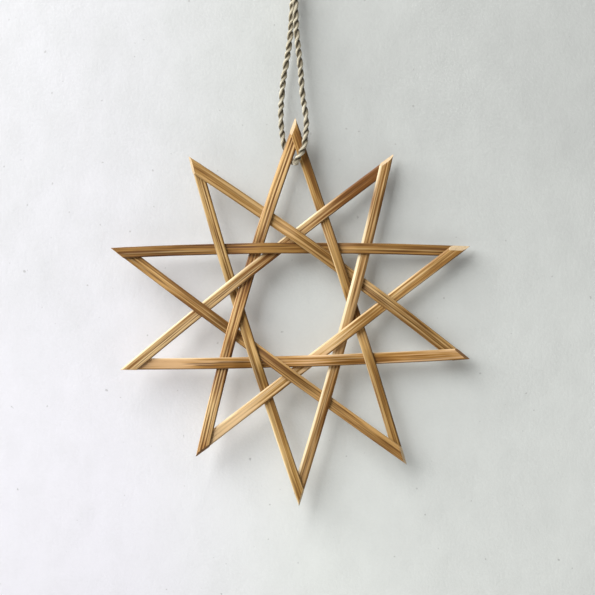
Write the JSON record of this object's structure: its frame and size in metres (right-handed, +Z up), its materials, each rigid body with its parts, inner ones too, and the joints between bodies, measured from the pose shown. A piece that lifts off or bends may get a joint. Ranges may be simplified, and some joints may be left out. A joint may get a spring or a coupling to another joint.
{
  "type": "woven bamboo star",
  "caption": "Flat star ornament woven from split bamboo strips, hung by a loop of twisted natural twine tied in a knot.",
  "frame": {"origin": "underside of the cord's knot between the two strands, where the hook or nail takes the hanging loop; the star hangs below it", "axes": "+Z up along the hanging cord, -Y out of the star's front face towards the viewer, +X to the viewer's right"},
  "size_m": [0.1392, 0.0085, 0.23],
  "materials": {
    "golden_bamboo": "planed, satin, golden brown with darker fibre lines",
    "pale_bamboo": "planed, satin, pale straw with darker fibre lines",
    "dark_bamboo": "planed, satin, reddish brown with darker fibre lines",
    "natural_twine": "two-ply, matt, slightly hairy"
  },
  "bodies": {
    "root": {"bamboo_strip_01": "golden_bamboo", "bamboo_strip_02": "pale_bamboo", "bamboo_strip_03": "pale_bamboo", "bamboo_strip_04": "pale_bamboo", "bamboo_strip_05": "golden_bamboo", "bamboo_strip_06": "golden_bamboo", "bamboo_strip_07": "dark_bamboo", "bamboo_strip_08": "golden_bamboo", "bamboo_strip_09": "dark_bamboo", "bamboo_strip_10": "golden_bamboo", "hanging_cord": "natural_twine", "cord_knot": "natural_twine"}
  },
  "joints": []
}
